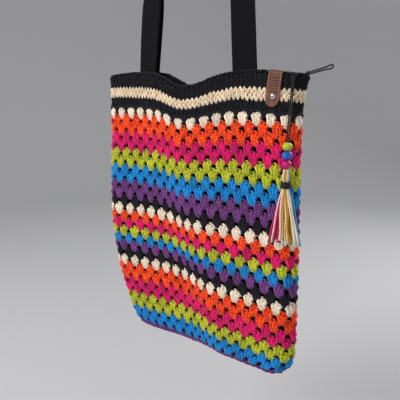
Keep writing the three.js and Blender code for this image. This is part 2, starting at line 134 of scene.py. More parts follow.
def curl(x, s):
    low = np.maximum(s - CURL_FROM, 0) / (BAG_HEIGHT - CURL_FROM)
    return low ** 2 * (0.5 - x / RIM_WIDTH) ** 2


def fold_up(x, s):
    low = np.maximum(s - LIFT_FROM, 0) / (BAG_HEIGHT - LIFT_FROM)
    return LIFT_UP * low * ease((x - LIFT_AT) / LIFT_RUN + 0.5)


def drape(x, y, s):
    """Hangs a flat place of the bag: x across, y to the back and s below the rim."""
    c = curl(x, s)
    across = BAG_OFFSET + x + CURL_IN * c - BAG_LEAN * np.maximum(s, 0)
    return np.stack([across, y + wave(x, s) + CURL_BACK * c, RIM_Z - s - sag(x, s) + fold_up(x, s)], -1)


def half_width(s):
    flare = np.clip(1 - s / RIM_FLARE_DEPTH, 0, FLARE_LIMIT) ** 2
    low = np.maximum(s - BAG_HEIGHT + CORNER_RADIUS, 0)
    corner = CORNER_RADIUS - np.sqrt(np.maximum(CORNER_RADIUS ** 2 - low ** 2, 0))
    taper = (BODY_WIDTH - THROAT_WIDTH) / 2 * ease(s / TAPER_DEPTH)
    return THROAT_WIDTH / 2 + taper + flare * (RIM_WIDTH - THROAT_WIDTH) / 2 - corner


def half_depth(s):
    t = np.clip((s - STRAP_SEWN) / (BELLY_AT - STRAP_SEWN), 0, 1)
    belly = RIM_DEPTH / 2 + (BELLY_DEPTH - RIM_DEPTH) / 2 * np.sin(t * np.pi / 2) ** 2
    low = np.maximum(s - BAG_HEIGHT + FOLD_RADIUS, 0) / FOLD_RADIUS
    return belly * np.sqrt(np.maximum(1 - low ** 2, EDGE_OPEN))


def end_shift(x, s):
    """The rim's left end hangs straighter than its right one, which flares."""
    end = x / (RIM_WIDTH / 2)
    near_rim = np.clip(1 - s / RIM_FLARE_DEPTH, 0, 1) ** 2
    moved = LEFT_END_IN * np.clip(-end, 0, 1) ** 2 + RIGHT_END_OUT * np.clip(end, 0, 1) ** 4
    return near_rim * moved


def cloth(u, s, out):
    """Points of the bag: u once round from the left edge, s below the rim, out from the outer face."""
    b = half_depth(s)
    straight = half_width(s) - b
    length = 4 * straight + 2 * np.pi * b
    along = (u % 1.0) * length
    front = along < length / 2
    p = np.where(front, along, length - along)
    arc = np.pi / 2 * b
    far = p - arc - 2 * straight
    r = np.maximum(b + out, LEAST_RADIUS)
    x = np.where(p < arc, -straight - r * np.cos(p / b), np.where(far < 0, p - arc - straight, 0))
    x = np.where(far >= 0, straight + r * np.sin(far / b), x)
    y = np.where(p < arc, r * np.sin(p / b), np.where(far < 0, r, r * np.cos(far / b)))
    return drape(x + end_shift(x, s), np.where(front, -y, y), s)


middle_depth = half_depth(BAG_HEIGHT / 2)
girth = 4 * (half_width(BAG_HEIGHT / 2) - middle_depth) + 2 * np.pi * middle_depth
print("girth", round(float(girth), 3))

# %% [markdown]
# ## Yarn
# Crochet is one long strand pulled through itself, so a stitch is built from short lengths of round
# yarn. A curve with a bevel for each loop would work, but thousands of curves are slow. Here a length of
# yarn is six-sided with a few dozen faces, and a stitch made from a few lengths is copied to every place
# round the bag and bent to the surface there.

# %% A length of yarn
SIDES = 6
JUST_UNDER = 1e-9
ODD_DIRECTION = (0.31, 0.17, 0.94)


def smooth_path(points, steps):
    """Even steps on a smooth curve through the given points."""
    p = np.asarray(points, float)
    p = np.vstack([2 * p[0] - p[1], p, 2 * p[-1] - p[-2]])
    t = np.linspace(0, len(points) - 1 - JUST_UNDER, steps + 1)
    i = t.astype(int)
    f = (t - i)[:, None]
    a, b, c, d = p[i], p[i + 1], p[i + 2], p[i + 3]
    curve = 2 * b + (c - a) * f + (2 * a - 5 * b + 4 * c - d) * f ** 2 + (3 * b - a - 3 * c + d) * f ** 3
    return 0.5 * curve


def yarn(path, radius, start=0.0):
    """Points, faces and pattern coordinates of a closed length of yarn along a path."""
    path = np.asarray(path, float)
    n = len(path)
    radius = np.broadcast_to(radius, n)
    tangent = np.gradient(path, axis=0)
    tangent /= np.linalg.norm(tangent, axis=1)[:, None]
    side = np.cross(tangent[0], ODD_DIRECTION)
    angle = 2 * np.pi * np.arange(SIDES) / SIDES
    rings = []
    for k in range(n):
        side = side - tangent[k] * (side @ tangent[k])
        side = side / np.linalg.norm(side)
        other = np.cross(tangent[k], side)
        rings.append(path[k] + radius[k] * (np.outer(np.cos(angle), side) + np.outer(np.sin(angle), other)))
    points = np.concatenate(rings)
    run = np.concatenate([[0], np.cumsum(np.linalg.norm(np.diff(path, axis=0), axis=1))]) + start
    faces, marks = [], []
    for k in range(n - 1):
        for j in range(SIDES):
            q = (j + 1) % SIDES
            faces.append([k * SIDES + j, k * SIDES + q, (k + 1) * SIDES + q, (k + 1) * SIDES + j])
            a, b = j / SIDES, (j + 1) / SIDES
            marks.append([[run[k], a], [run[k], b], [run[k + 1], b], [run[k + 1], a]])
    for base, turn in ((0, -1), ((n - 1) * SIDES, 1)):
        for quad in ([0, 1, 2, 3], [0, 3, 4, 5]):
            faces.append([base + q for q in quad[::turn]])
            marks.append([[run[0 if base == 0 else -1], 0.5]] * 4)
    return points, np.array(faces), np.array(marks)


def gather(lengths):
    """Several lengths of yarn as one set of points, faces and pattern coordinates."""
    points, faces, marks, base = [], [], [], 0
    for p, f, m in lengths:
        points.append(p)
        faces.append(f + base)
        marks.append(m)
        base += len(p)
    return np.concatenate(points), np.concatenate(faces), np.concatenate(marks)


def make_mesh(name, points, faces, marks, tint=None):
    """A smooth mesh piece of four-sided faces, with a pattern map named yarn."""
    mesh = bpy.data.meshes.new(name)
    mesh.vertices.add(len(points))
    mesh.vertices.foreach_set("co", np.asarray(points, np.float32).ravel())
    mesh.loops.add(faces.size)
    mesh.loops.foreach_set("vertex_index", faces.astype(np.int32).ravel())
    mesh.polygons.add(len(faces))
    mesh.polygons.foreach_set("loop_start", np.arange(0, faces.size, 4, dtype=np.int32))
    mesh.update(calc_edges=True)
    mesh.polygons.foreach_set("use_smooth", np.ones(len(faces), bool))
    mesh.uv_layers.new(name="yarn").data.foreach_set("uv", np.asarray(marks, np.float32).ravel())
    # The tint attribute holds each length's random tone together with painted light and shade.
    if tint is not None:
        shade = mesh.attributes.new("tint", "FLOAT", "POINT")
        shade.data.foreach_set("value", np.asarray(tint, np.float32))
    piece = bpy.data.objects.new(name, mesh)
    scene.collection.objects.link(piece)
    return piece


print("a length of yarn with six steps has", 6 * SIDES + 4, "faces")

# %% [markdown]
# ## Finishes
# Cotton yarn is matt with a faint sheen, and shows its twisted plies when looked at closely. One node
# group makes the slanting ply lines from the pattern map, with painted shade in the grooves between
# plies, and adds fuzz. Each colour of yarn is its own material, which places that group and sets its own
# colour.

# %% Node helpers
def srgb(r, g, b):
    """A colour as a screen shows it, as the linear numbers a shader takes, by the sRGB curve."""
    c = np.array([r, g, b]) / 255
    return tuple(np.where(c <= 0.04045, c / 12.92, ((c + 0.055) / 1.055) ** 2.4)) + (1.0,)


def put(tree, kind, inputs=None, **settings):
    n = tree.nodes.new(kind)
    for key, value in settings.items():
        setattr(n, key, value)
    for key, value in (inputs or {}).items():
        if isinstance(value, bpy.types.NodeSocket):
            tree.links.new(value, n.inputs[key])
        else:
            n.inputs[key].default_value = value
    return n


def new_group(name, **values):
    """A node group that takes a colour and named values, and gives a colour and a height."""
    group = bpy.data.node_groups.new(name, "ShaderNodeTree")
    sockets = group.interface
    sockets.new_socket("Colour", in_out="INPUT", socket_type="NodeSocketColor")
    for label, value in values.items():
        sockets.new_socket(label, in_out="INPUT", socket_type="NodeSocketFloat").default_value = value
    for label, kind in (("Colour", "NodeSocketColor"), ("Height", "NodeSocketFloat")):
        sockets.new_socket(label, in_out="OUTPUT", socket_type=kind)
    return group, put(group, "NodeGroupInput").outputs, put(group, "NodeGroupOutput").inputs


def sums(tree, operation, a, b=0.0, c=0.0):
    return put(tree, "ShaderNodeMath", {0: a, 1: b, 2: c}, operation=operation).outputs[0]


def times(tree, a, b, plus=0.0):
    return sums(tree, "MULTIPLY_ADD", a, b, plus)


def map_parts(tree, name):
    """The two coordinates of a piece's own map."""
    pattern = put(tree, "ShaderNodeUVMap", uv_map=name)
    return put(tree, "ShaderNodeSeparateXYZ", {"Vector": pattern.outputs[0]}).outputs


def noise(tree, scale, detail):
    """Noise that stays fixed on the piece."""
    place = put(tree, "ShaderNodeTexCoord")
    given = {"Vector": place.outputs["Object"], "Scale": scale, "Detail": detail}
    return put(tree, "ShaderNodeTexNoise", given).outputs[0]


def swing(tree, value, amount, middle):
    """A noise value, swung by an amount about a middle."""
    return times(tree, sums(tree, "SUBTRACT", value, 0.5), amount, middle)


def two_tones(tree, value, dark, pale, start=0.0, stop=1.0):
    """A blend from a dark colour to a pale one as a value goes from start to stop."""
    ramp = put(tree, "ShaderNodeValToRGB", {"Fac": value})
    for element, colour, position in zip(ramp.color_ramp.elements, (dark, pale), (start, stop)):
        element.color = colour
        element.position = position
    return ramp.outputs[0]


def dress(tree, principled, colour, height, strength, depth):
    """Gives a shader its colour, and relief from a height."""
    tree.links.new(colour, principled.inputs["Base Color"])
    relief = put(tree, "ShaderNodeBump", {"Height": height, "Strength": strength, "Distance": depth})
    tree.links.new(relief.outputs[0], principled.inputs["Normal"])


# %% The ply group
PLY_COUNT, PLY_RIDGE, PAINTED_PLY_SHADE = 3.0, 0.5, 0.1
FUZZ_SCALE, FLECK_SCALE, PATCH_SCALE = 900.0, 600.0, 55.0
PATCHES, STITCH_TINT_AND_SHADE, FLECKS, HUES = 0.5, 0.4, 3.2, 0.09
FULLNESS, FULL_COLOUR = 0.9, 1.08


def ply_group():
    group, given, result = new_group("yarn plies", Twist=420.0, Uneven=0.25, Fuzz=0.5)
    parts = map_parts(group, "yarn")
    turn = times(group, parts[0], given["Twist"], times(group, parts[1], PLY_COUNT))
    ridge = sums(group, "SINE", times(group, turn, 2 * math.pi))
    fuzz = noise(group, FUZZ_SCALE, 3.0)
    patch = noise(group, PATCH_SCALE, 2.0)
    fleck = noise(group, FLECK_SCALE, 2.0)
    height = times(group, fuzz, given["Fuzz"], times(group, ridge, PLY_RIDGE))
    # The tint attribute brings each stitch's random tone together with painted light and shade from its
    # depth.
    shade = put(group, "ShaderNodeAttribute", attribute_name="tint")
    level = times(group, shade.outputs["Fac"], STITCH_TINT_AND_SHADE)
    level = swing(group, patch, PATCHES, level)
    level = times(group, level, given["Uneven"], 1.0)
    # Painted shade: darker in the grooves between plies, lighter on their crowns.
    level = times(group, ridge, PAINTED_PLY_SHADE, level)
    flecks = times(group, given["Uneven"], FLECKS)
    tone = put(group, "ShaderNodeHueSaturation", {
        "Hue": swing(group, fleck, HUES, 0.5), "Saturation": swing(group, fuzz, FULLNESS, FULL_COLOUR),
        "Value": swing(group, fleck, flecks, level), "Color": given["Colour"],
    })
    group.links.new(tone.outputs[0], result["Colour"])
    group.links.new(height, result["Height"])
    return group


PLIES = ply_group()


def shader(name, roughness, sheen=0.0, specular=0.5, metallic=0.0):
    """A new material with its Principled shader."""
    material = bpy.data.materials.new(name)
    material.use_nodes = True
    principled = material.node_tree.nodes["Principled BSDF"]
    settings = {
        "Roughness": roughness, "Metallic": metallic, "Sheen Weight": sheen, "Sheen Roughness": 0.5,
        "Specular IOR Level": specular,
    }
    for key, value in settings.items():
        principled.inputs[key].default_value = value
    return material, material.node_tree, principled


def patterned(made, group, values, strength, depth):
    """Places a pattern group in a new material, with its own values."""
    material, tree, principled = made
    pattern = put(tree, "ShaderNodeGroup", values, node_tree=group)
    dress(tree, principled, pattern.outputs["Colour"], pattern.outputs["Height"], strength, depth)
    return material


YARN_ROUGHNESS, YARN_SPECULAR, YARN_FUZZ, YARN_RELIEF, YARN_RELIEF_DEPTH = 0.88, 0.2, 0.8, 0.55, 0.0006


def yarn_finish(name, colour, twist=420.0, uneven=0.6, sheen=0.12):
    made = shader(name, YARN_ROUGHNESS, sheen, YARN_SPECULAR)
    values = {"Colour": colour, "Twist": twist, "Uneven": uneven, "Fuzz": YARN_FUZZ}
    return patterned(made, PLIES, values, YARN_RELIEF, YARN_RELIEF_DEPTH)


YARN_COLOURS = {
    "black": (22, 20, 28), "beige": (240, 218, 190), "cream": (240, 223, 202), "orange": (244, 70, 24),
    "magenta": (213, 25, 102), "green": (182, 186, 64), "blue": (24, 132, 200), "purple": (110, 64, 120),
}
special = {"black": {"sheen": 0.06}, "beige": {"uneven": 0.35}, "cream": {"uneven": 0.35}}
YARN = {}
for colour, shade in YARN_COLOURS.items():
    YARN[colour] = yarn_finish(colour + " yarn", srgb(*shade), **special.get(colour, {}))
print("yarn colours", len(YARN))

# %% [markdown]
# ## The crochet stripes
# The body is worked in rounds of clusters: three tall stitches that start in one gap of the round below
# and fan out to its neighbours. Each tall stitch is two lengths of yarn wound round each other, and a
# slanting loop lies over its top. Rounds are set half a cluster on from each other, so every cluster
# stands in a gap, and small holes stay open between them.

# %% One cluster
CLUSTERS, CLUSTER = 34, 0.0198
RIM_ROUNDS, SHORT_TALL, BASE_ROUND, BODY_ROUNDS = 7, 0.0066, 0.012, 28
ROUND = (BAG_HEIGHT - RIM_ROUNDS * SHORT_TALL - BASE_ROUND) / BODY_ROUNDS
POST_RADIUS, WRAP_RADIUS, LOOP_RADIUS = 0.00182, 0.0013, 0.00135
POST_STEPS, WIND_TURNS, WIND_START, WIND_ACROSS, WIND_OUT = 6, 1.3, 0.5, 0.0011, 0.0010
PATTERN_START = 0.001


def tall_stitch(foot, belly, head, top, wrap):
    """Two wound lengths from a foot to a head and the wrap round their middle, as (across, up, out)."""
    lengths = []
    t = np.linspace(0, 1, POST_STEPS + 1)
    core = smooth_path([
        (foot * 0.8, -0.0058, -0.0036), (foot, -0.0042, -0.0012),
        (foot * 0.35 + belly * 0.65, 0.0004, 0.0001), (belly, 0.0050, 0.0004),
        (head, top - 0.0014, -0.0006), (head * 0.94, top + 0.0010, -0.0026),
    ], POST_STEPS)
    thick = POST_RADIUS * np.array([0.75, 0.95, 1.02, 1.06, 1.04, 0.95, 0.8])
    for phase in (0.0, np.pi):
        a = phase + 2 * WIND_TURNS * np.pi * t + WIND_START
        wind = np.stack([np.cos(a) * WIND_ACROSS, np.zeros(len(t)), np.sin(a) * WIND_OUT], -1)
        lengths.append(yarn(core + wind, thick, start=phase * PATTERN_START))
    at = belly * 0.9
    path = smooth_path([
        (at - 0.0030, wrap + 0.0016, -0.0010), (at - 0.0010, wrap + 0.0009, 0.0016),
        (at + 0.0012, wrap - 0.0006, 0.0016), (at + 0.0030, wrap - 0.0018, -0.0010),
    ], 3)
    lengths.append(yarn(path, WRAP_RADIUS * np.array([0.8, 1, 1, 0.8])))
    return lengths


def head_loop(head, top):
    """The loop that closes a stitch, slanting over its top."""
    path = smooth_path([
        (head - 0.0038, top + 0.0010, -0.0026), (head - 0.0020, top + 0.0018, -0.0008),
        (head + 0.0008, top + 0.0007, 0.0), (head + 0.0030, top - 0.0014, -0.0006),
        (head + 0.0042, top - 0.0026, -0.0024),
    ], 4)
    return yarn(path, LOOP_RADIUS * np.array([0.8, 1, 1.05, 1, 0.8]))


cluster = []
for foot, belly, head, top, wrap in (
    (-0.0021, -0.0043, -0.0052, 0.0096, 0.0030), (0.0, 0.0002, 0.0004, 0.0112, 0.0052),
    (0.0021, 0.0042, 0.0052, 0.0088, 0.0024),
):
    cluster += tall_stitch(foot, belly, head, top, wrap)
    cluster.append(head_loop(head, top))
print("faces in a cluster", sum(len(faces) for _, faces, _ in cluster))

# %% Work a stitch round the bag
# The hollow numbers paint light and shade into each stitch: outer parts lighter, deeper parts darker.
PAINTED_HOLLOW_SHADE, HOLLOW_AT, HOLLOW_DEPTH, COPY_TINT = 1.2, 0.0015, 0.0026, 0.5
RISE_REACH, LEAN_REACH, LOOSE, SUNK, DEEPEST = 0.006, 0.004, 0.00012, 0.0016, -0.0050


def finish_piece(piece, material, body, slot, *nodes):
    """Gives a piece its material, the body it rides on and the nodes it stands for. The slot is not used.
    """
    piece.data.materials.clear()
    piece.data.materials.append(material)
    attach(piece, body)
    if nodes:
        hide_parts(*nodes)
    return piece


def crochet(name, colour, stitch, count, rows, jitter, *nodes):
    """Copies a stitch round the bag in rows of (distance of its foot, height scale, shift)."""
    points, faces, marks = gather(stitch)
    owner = np.repeat(np.arange(len(stitch)), [len(p) for p, _, _ in stitch])
    # Painted light and shade: parts of a stitch that stand out are lightened, and parts lying deeper,
    # toward the lining, are darkened.
    hollow_painted_shade = PAINTED_HOLLOW_SHADE * np.clip((points[:, 2] - HOLLOW_AT) / HOLLOW_DEPTH, -1, 1)
    all_points, tints_and_painted_shade = [], []
    for foot, tall, shift in rows:
        for k in range(count):
            turn, size, rise, lean = chance.normal(0, 1, 4) * jitter
            across = points[:, 0] * (1 + size) - points[:, 1] * turn
            up = points[:, 1] * tall * (1 + size / 2) + points[:, 0] * turn + rise * RISE_REACH
            out = points[:, 2] + lean * LEAN_REACH + chance.normal(0, 1) * LOOSE - SUNK
            u = (k + shift) / count + across / (CLUSTERS * CLUSTER)
            all_points.append(cloth(u, foot - up, np.maximum(out, DEEPEST)))
            tint = chance.uniform(-1, 1) * COPY_TINT + chance.uniform(-1, 1, len(stitch))
            tints_and_painted_shade.append(hollow_painted_shade + tint[owner])
    copies = len(all_points)
    all_faces = (faces[None] + (np.arange(copies) * len(points))[:, None, None]).reshape(-1, 4)
    all_marks = np.tile(marks, (copies, 1, 1))
    piece = make_mesh(name, np.concatenate(all_points), all_faces, all_marks, np.concatenate(tints_and_painted_shade))
    finish_piece(piece, YARN[colour], "bag", "yarn_" + colour, *nodes)


print("a cluster is copied", CLUSTERS, "times a round")

# %% Work the stripes
DOUBLE_FROM = (1, 3, 5, 7, 9, 20, 22, 24, 26)
SHIFT_ROUNDS, SHIFTS = (0, 12, 19, 28), (0.891, 0.652, 0.089, -0.3)
DRAWN_ROUND, BODY_JITTER = 0.0122, 0.045
foot, number = RIM_ROUNDS * SHORT_TALL, 0
for node in sorted(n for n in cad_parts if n.startswith("stripe_")):
    colour = node.split("_")[-1]
    rows = []
    for _ in range(2 if number in DOUBLE_FROM else 1):
        foot += ROUND
        drift = float(np.interp(number, SHIFT_ROUNDS, SHIFTS))
        rows.append((foot, ROUND / DRAWN_ROUND, 0.5 * (number % 2) + drift))
        number += 1
    crochet("crochet_" + node, colour, cluster, CLUSTERS, rows, BODY_JITTER, node)
print("rounds worked", number, "down to", round(foot, 4))

# %% [markdown]
# ## The rim
# The rim is worked in short stitches, three to each cluster. From the front a short stitch is a V of two
# lengths of yarn, and stands in the open top of the V below it. The lowest round reaches down between
# the clusters in long spikes, with a loop over each cluster. Along the very top the last loops lie flat,
# like a braid. The base has the same short stitches and an edge of round knuckles.

# %% Short stitches
SHORTS, KNUCKLES = CLUSTERS * 3, CLUSTERS * 2
SHORT_RADIUS, BRAID_RADIUS, SPIKE_RADIUS, ARCH_YARN, KNUCKLE_RADIUS = 0.0015, 0.0014, 0.0016, 0.0017, 0.0023
BRAID_LIFT = 0.0064


def short_stitch():
    lengths = []
    for side in (-1, 1):
        path = smooth_path([
            (side * 0.0003, -0.0030, -0.0024), (side * 0.0007, -0.0012, 0.0002),
            (side * 0.0017, 0.0022, 0.0006), (side * 0.0028, 0.0054, 0.0), (side * 0.0031, 0.0080, -0.0018),
        ], 4)
        lengths.append(yarn(path, SHORT_RADIUS * np.array([0.8, 1.0, 1.05, 0.95, 0.5])))
    return lengths


def braid_loop():
    lengths = []
    for out in (-0.0010, -0.0036):
        path = smooth_path([
            (-0.0042, BRAID_LIFT - 0.0006, -0.0022), (-0.0016, BRAID_LIFT + 0.0004, out),
            (0.0016, BRAID_LIFT + 0.0004, out), (0.0042, BRAID_LIFT - 0.0006, -0.0024),
        ], 4)
        lengths.append(yarn(path, BRAID_RADIUS))
    return lengths


def spike():
    """Three long lengths that meet between two clusters, and the loop over the clusters' heads."""
    lengths = []
    for x, low in ((-0.0036, -0.0070), (0.0, -0.0084), (0.0036, -0.0070)):
        path = smooth_path([(x, 0.0026, -0.0012), (x * 0.5, -0.0034, 0.0016), (x * 0.15, low, -0.0010)], 4)
        lengths.append(yarn(path, SPIKE_RADIUS))
    arch = smooth_path([
        (-0.0099, 0.0004, 0.0012), (-0.0050, -0.0006, 0.0017), (0.0, -0.0032, 0.0018),
        (0.0050, -0.0006, 0.0017), (0.0099, 0.0004, 0.0012),
    ], 8)
    lengths.append(yarn(arch, ARCH_YARN))
    return lengths


def knuckle():
    path = smooth_path([(-0.0052, -0.0006, -0.0016), (0.0, 0.0014, 0.0022), (0.0052, -0.0004, -0.0016)], 4)
    return [yarn(path, KNUCKLE_RADIUS * np.array([0.7, 1.0, 1.1, 1.0, 0.7]))]


SHORT_SHAPE = short_stitch()
print("lengths in a short stitch", len(SHORT_SHAPE))

# %% Work the rim and the base
RIM_BANDS = (("rim_top_black", "black", 3), ("rim_beige", "beige", 2), ("rim_lower_black", "black", 2))
FIRST_ROW_TALL, ROW_SHIFT, RIM_JITTER = 0.85, 0.12, 0.06
SPIKE_JITTER, BRAID_JITTER, BASE_JITTER, EDGE_JITTER = 0.05, 0.03, 0.05, 0.09
row = 0
for node, colour, rounds in RIM_BANDS:
    rows = []
    for _ in range(rounds):
        rows.append(((row + 1) * SHORT_TALL, 1.0 if row else FIRST_ROW_TALL, ROW_SHIFT * row))
        row += 1
    crochet("crochet_" + node, colour, SHORT_SHAPE, SHORTS, rows, RIM_JITTER, node)
spike_rows = [(RIM_ROUNDS * SHORT_TALL, 1.0, SHIFTS[0] + 0.5)]
BASE_ROWS, EDGE_ROWS = [(0.3935, 1.0, 0.2), (0.3985, 0.9, 0.7)], [(0.3965, 1.0, 0.3), (0.3990, 1.0, 0.8)]
crochet("rim_spikes", "black", spike(), CLUSTERS, spike_rows, SPIKE_JITTER)
crochet("rim_braid", "black", braid_loop(), SHORTS, [(SHORT_TALL, 1.0, 0.0)], BRAID_JITTER)
crochet("crochet_base_purple", "purple", SHORT_SHAPE, SHORTS, BASE_ROWS, BASE_JITTER, "base_purple")
crochet("base_edge", "purple", knuckle(), KNUCKLES, EDGE_ROWS, EDGE_JITTER)
print("short rows", row)

# %% [markdown]
# ## Lining
# Behind the open stitches a black cotton lining keeps the shopping in. It is one sheet, folded at the
# bottom and hung inside the rim, so it starts as a flat grid whose points are laid on the surface of the
# bag, just inside the crochet. Solidify gives it the thickness of cloth.

# %% Woven cloth finish
CLOTH_PATCH_SCALE, PAINTED_THREAD_SHADE = 120.0, 0.12
CLOTH_SHEEN, CLOTH_SPECULAR, CLOTH_RELIEF = 0.02, 0.1, 0.6


def weave_group():
    group, given, result = new_group("plain weave", Threads=1500.0, Slant=0.0, Uneven=0.3)
    parts = map_parts(group, "UVMap")
    along = times(group, parts[1], given["Threads"])
    across = times(group, parts[0], given["Threads"])
    across = times(group, along, given["Slant"], across)
    warp = sums(group, "SINE", times(group, across, math.pi))
    weft = sums(group, "SINE", times(group, along, math.pi))
    over = times(group, warp, weft)
    level = swing(group, noise(group, CLOTH_PATCH_SCALE, 4.0), given["Uneven"], 1.0)
    # Painted shade: the cloth is darker where the threads dip under each other and lighter where they cross
    # over.
    level = times(group, over, PAINTED_THREAD_SHADE, level)
    tone = put(group, "ShaderNodeVectorMath", {0: given["Colour"], 1: level}, operation="MULTIPLY")
    group.links.new(tone.outputs[0], result["Colour"])
    group.links.new(over, result["Height"])
    return group


WEAVE = weave_group()


def woven_finish(name, colour, threads, slant, roughness, depth):
    made = shader(name, roughness, CLOTH_SHEEN, CLOTH_SPECULAR)
    values = {"Colour": colour, "Threads": threads, "Slant": slant}
    return patterned(made, WEAVE, values, CLOTH_RELIEF, depth)


CLOTH_BLACK = srgb(14, 13, 16)
LINING_FINISH = woven_finish("lining cotton", CLOTH_BLACK, 2400.0, 0.0, 0.9, 0.0002)
WEBBING_FINISH = woven_finish("black webbing", CLOTH_BLACK, 700.0, 1.0, 0.78, 0.0005)
print("finishes", LINING_FINISH.name, "and", WEBBING_FINISH.name)

# %% Sheets
def flat_grid(name, columns, rows):
    """A flat grid sheet in Blender's own way, with its map, ready to be laid over a shape."""
    bpy.ops.mesh.primitive_grid_add(x_subdivisions=columns, y_subdivisions=rows, size=2.0, calc_uvs=True)
    sheet = bpy.context.object
    sheet.name = sheet.data.name = name
    co = np.zeros(len(sheet.data.vertices) * 3, np.float32)
    sheet.data.vertices.foreach_get("co", co)
    return sheet, co.reshape(-1, 3)


def lay(sheet, points, size):
    """Moves a grid's points, and scales its map to real metres."""
    sheet.data.vertices.foreach_set("co", np.asarray(points, np.float32).ravel())
    uv = np.zeros(len(sheet.data.loops) * 2, np.float32)
    layer = sheet.data.uv_layers[0]
    layer.data.foreach_get("uv", uv)
    layer.data.foreach_set("uv", (uv.reshape(-1, 2) * np.array(size, np.float32)).ravel())
    layer.name = "UVMap"
    sheet.data.update()


def close_up(distance):
    """Merges the active piece's points that meet, and turns every face outwards."""
    bpy.ops.object.mode_set(mode="EDIT")
    bpy.ops.mesh.select_all(action="SELECT")
    bpy.ops.mesh.remove_doubles(threshold=distance)
    bpy.ops.mesh.normals_make_consistent(inside=False)
    bpy.ops.object.mode_set(mode="OBJECT")


ROUNDED_ANGLE = math.radians(50)


def thicken(sheet, thickness, offset, rounding=0.0, segments=2):
    """Cloth or leather thickness, with the edges rounded."""
    bpy.context.view_layer.objects.active = sheet
    solid = sheet.modifiers.new("thickness", "SOLIDIFY")
    solid.thickness, solid.offset = thickness, offset
    solid.use_even_offset = True
    bpy.ops.object.modifier_apply(modifier=solid.name)
    if rounding:
        edge = sheet.modifiers.new("rounding", "BEVEL")
        edge.width, edge.segments = rounding, segments
        edge.limit_method, edge.angle_limit = "ANGLE", ROUNDED_ANGLE
        bpy.ops.object.modifier_apply(modifier=edge.name)
    bpy.ops.object.shade_smooth()


# %% Lay the lining
LINING_IN, LINING_TOP, LINING_DROP, LINING_THICK = -0.0050, 0.0012, 0.3848, 0.0008
CLOSE_FROM, CLOSE_RUN, MERGE = 0.372, 0.014, 0.00005
LINING_MAP = (0.66, 0.386)
lining, flat = flat_grid("lining_sheet", 120, 60)
u = (flat[:, 0] + 1) / 2
s = LINING_TOP + (1 - flat[:, 1]) / 2 * LINING_DROP
lining_points = cloth(u - JUST_UNDER, s, np.full(len(u), LINING_IN))
mirror = cloth(-u, s, np.full(len(u), LINING_IN))
middle = (lining_points + mirror) / 2
closing = np.clip((s - CLOSE_FROM) / CLOSE_RUN, 0, 1)
drawn = 1 - np.sqrt(np.maximum(1 - closing ** 2, 0))
lining_points = lining_points + (middle - lining_points) * drawn[:, None]
lay(lining, lining_points, LINING_MAP)
close_up(MERGE)
thicken(lining, LINING_THICK, -1)
finish_piece(lining, LINING_FINISH, "bag", "lining_cloth", "lining")
print("lining points", len(lining.data.vertices))

# %% [markdown]
# ## Handles
# Two lengths of cotton webbing are sewn inside the rim. They rise flat to the front, then turn a quarter
# round so that they could lie over one peg, the front one on top of the back one. A curve with a flat
# bevel would twist unevenly, so each is a flat grid carried along the path, thickened and rounded at its
# selvedges.

# %% Webbing along its path
STRAP_WIDTH, STRAP, STRAP_SPAN = 0.032, 0.002, 0.153
ARCH_RADIUS, HANDLE_GAP, HANDLE_RISE, TWIST_FROM, LEAN_FROM = 0.055, 0.0016, 0.300, 0.070, 0.020
LINING_INSET, LINING_WALL, STRAP_GAP, BACK_SLIP, SELVEDGE = 0.0058, 0.001, 0.0009, -0.005, 0.0007
STRAP_IN = LINING_INSET + LINING_WALL + STRAP_GAP + STRAP / 2
ARCH_BASE = HANDLE_RISE - ARCH_RADIUS


def strap_points(side, r, along, across):
    """Middle surface of a handle: along 0 to 1 from one sewn end to the other, across -1 to 1."""
    leg, arch = STRAP_SEWN + ARCH_BASE, np.pi * r
    run = along * (2 * leg + arch)
    right = run > leg + arch / 2
    run = np.where(right, 2 * leg + arch - run, run)
    h = run - STRAP_SEWN
    t = np.clip(h / ARCH_BASE, 0, 1)
    x = -STRAP_SPAN / 2 + (STRAP_SPAN / 2 - r) * t
    y = side * (RIM_DEPTH / 2 - STRAP_IN) * (1 - ease((h - LEAN_FROM) / (ARCH_BASE - LEAN_FROM)))
    turn = np.pi / 2 * ease((h - TWIST_FROM) / (ARCH_BASE - TWIST_FROM))
    w = across * STRAP_WIDTH / 2
    mirror = np.where(right, -1, 1)
    slip = BACK_SLIP * (1 - ease(h / ARCH_BASE)) if side > 0 else 0.0
    hung = drape(mirror * (x + w * np.cos(turn)) - BAG_OFFSET + slip, y - w * np.sin(turn), -h)
    angle = np.clip((h - ARCH_BASE) / r, 0, np.pi / 2)
    top = np.stack([-mirror * r * np.cos(angle), -w, -ARCH_RADIUS + r * np.sin(angle)], -1)
    return np.where((h < ARCH_BASE)[:, None], hung, top)


for side, node in ((-1, "front_handle"), (1, "back_handle")):
    radius = ARCH_RADIUS + STRAP / 2 + (STRAP + HANDLE_GAP if side < 0 else 0)
    length = float(2 * (STRAP_SEWN + ARCH_BASE) + np.pi * radius)
    strap, flat = flat_grid(node + "_webbing", 8, 150)
    lay(strap, strap_points(side, radius, (flat[:, 1] + 1) / 2, flat[:, 0]), (STRAP_WIDTH, length))
    thicken(strap, STRAP, 0, SELVEDGE, 3)
    finish_piece(strap, WEBBING_FINISH, "bag", "webbing", node)
    print(node, "webbing length", round(length, 3))

# %% [markdown]
# ## Leather tab and rivet
# A strip of brown leather is folded over the rim and held by one domed rivet. The strip is a grid bent
# over the rim, narrowed to a round end, thickened and bevelled. Its face is bare but for a block of lines
# pressed across it, and a painted highlight along both long edges. The rivet is turned: half its outline
# is spun once round.

